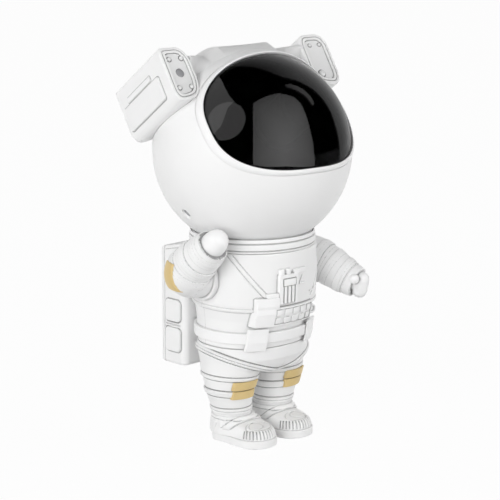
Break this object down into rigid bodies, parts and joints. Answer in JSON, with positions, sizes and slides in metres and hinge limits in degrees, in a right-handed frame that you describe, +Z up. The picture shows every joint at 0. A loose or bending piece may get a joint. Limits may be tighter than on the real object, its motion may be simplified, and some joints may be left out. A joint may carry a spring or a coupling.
{
  "type": "star projector night light",
  "caption": "Standing astronaut-shaped star and nebula projector: ball helmet with visor and light engine turns and tilts on a magnetic neck above a small suited figure.",
  "frame": {"origin": "on the floor under the middle of the whole object in X and Y", "axes": "+Z up; the figure faces -Y, so its left hand is at +X"},
  "size_m": [0.1246, 0.1146, 0.225],
  "materials": {
    "white_shell": "satin white moulded plastic",
    "white_trim": "satin white moulded plastic",
    "silver_rim": "pale grey satin plastic",
    "gold_pad": "soft gold satin paint",
    "smoke_visor": "glossy smoked polycarbonate",
    "black_plastic": "matt black plastic",
    "frame_plastic": "dark grey plastic",
    "nylon": "natural nylon",
    "circuit_board": "green solder mask",
    "clear_lens": "polished clear acrylic",
    "dichroic": "coated rippled glass",
    "ir_dark": "dark infrared-passing plastic",
    "steel": "zinc-plated steel",
    "nickel": "nickel-plated magnet",
    "aluminium": "extruded aluminium",
    "brass": "turned brass"
  },
  "bodies": {
    "figure": {"torso_front": "white_shell", "torso_back": "white_shell", "legs_front": "white_shell", "legs_back": "white_shell", "knee_pads": "gold_pad", "boot_soles": "white_shell", "left_boot": "white_shell", "right_boot": "white_shell", "belt": "white_trim", "strap_loops": "white_trim", "chest_console": "white_trim", "console_keys": "white_trim", "console_knob": "white_trim", "backpack_shell": "white_shell", "backpack_cover": "white_shell", "backpack_side_panels": "white_shell", "neck_collar": "white_shell", "neck_cup": "white_shell"},
    "neck": {"neck_magnet": "nickel"},
    "head": {"helmet": "white_shell", "helmet_back": "white_shell", "left_light_box": "white_shell", "right_light_box": "white_shell", "box_faces": "white_trim", "box_covers": "white_shell", "box_side_panels": "white_shell", "crown_bridge": "white_shell", "visor_rim": "silver_rim", "visor": "smoke_visor", "key_boards": "circuit_board", "ir_window": "ir_dark", "ir_receiver": "black_plastic", "engine_frame": "frame_plastic", "led_board": "circuit_board", "heat_sink": "aluminium", "collimator_lens": "clear_lens", "wheel_motor": "steel", "laser_module": "brass", "lens_baffle": "black_plastic", "helmet_screws": "steel", "lens_barrel": "black_plastic", "ripple_glass": "clear_lens", "front_lens": "clear_lens", "main_board": "circuit_board", "usb_socket": "steel", "steel_dish": "steel"},
    "nebula_button": {"nebula_button": "white_trim"},
    "star_button": {"star_button": "white_trim"},
    "wheel": {"drive_shaft": "steel", "drive_gear": "nylon", "nebula_wheel": "dichroic"},
    "grating": {"star_gear": "nylon", "star_grating": "clear_lens"},
    "right_arm": {"right_arm": "white_shell", "right_hand": "white_trim", "elbow_pad": "gold_pad", "right_arm_clip": "steel"},
    "left_arm": {"left_arm": "white_shell", "left_hand": "white_trim", "left_arm_clip": "steel"}
  },
  "joints": [
    {"name": "head_turn", "type": "hinge", "parent": "figure", "child": "neck", "pos_m": [-0.00164, -0.00041, 0.165], "axis": [0, 0, 1], "continuous": true},
    {"name": "head_tilt", "type": "hinge", "parent": "neck", "child": "head", "pos_m": [-0.00164, -0.00041, 0.165], "axis": [0.9914, -0.1305, 0], "range_deg": [-40, 35]},
    {"name": "nebula_press", "type": "slide", "parent": "head", "child": "nebula_button", "axis": [-0.1069, -0.8121, 0.5736], "range_m": [0, 0.0006], "stiffness_N_per_m": 600, "springref_m": -0.0006},
    {"name": "star_press", "type": "slide", "parent": "head", "child": "star_button", "axis": [-0.1069, -0.8121, 0.5736], "range_m": [0, 0.0006], "stiffness_N_per_m": 600, "springref_m": -0.0006},
    {"name": "wheel_spin", "type": "hinge", "parent": "head", "child": "wheel", "pos_m": [-0.00314, -0.01178, 0.14862], "axis": [-0.1069, -0.8121, 0.5736], "continuous": true},
    {"name": "grating_spin", "type": "hinge", "parent": "head", "child": "grating", "pos_m": [0.02778, -0.01013, 0.15672], "axis": [-0.1069, -0.8121, 0.5736], "continuous": true},
    {"name": "right_shoulder", "type": "hinge", "parent": "figure", "child": "right_arm", "pos_m": [-0.03724, 0.00459, 0.0945], "axis": [1, 0, 0], "range_deg": [-3, 60]},
    {"name": "left_shoulder", "type": "hinge", "parent": "figure", "child": "left_arm", "pos_m": [0.03396, 0.00459, 0.0945], "axis": [1, 0, 0], "range_deg": [-35, 35]}
  ],
  "couplings": [
    {"joint": "grating_spin", "follows": "wheel_spin", "ratio": -1.6667}
  ]
}
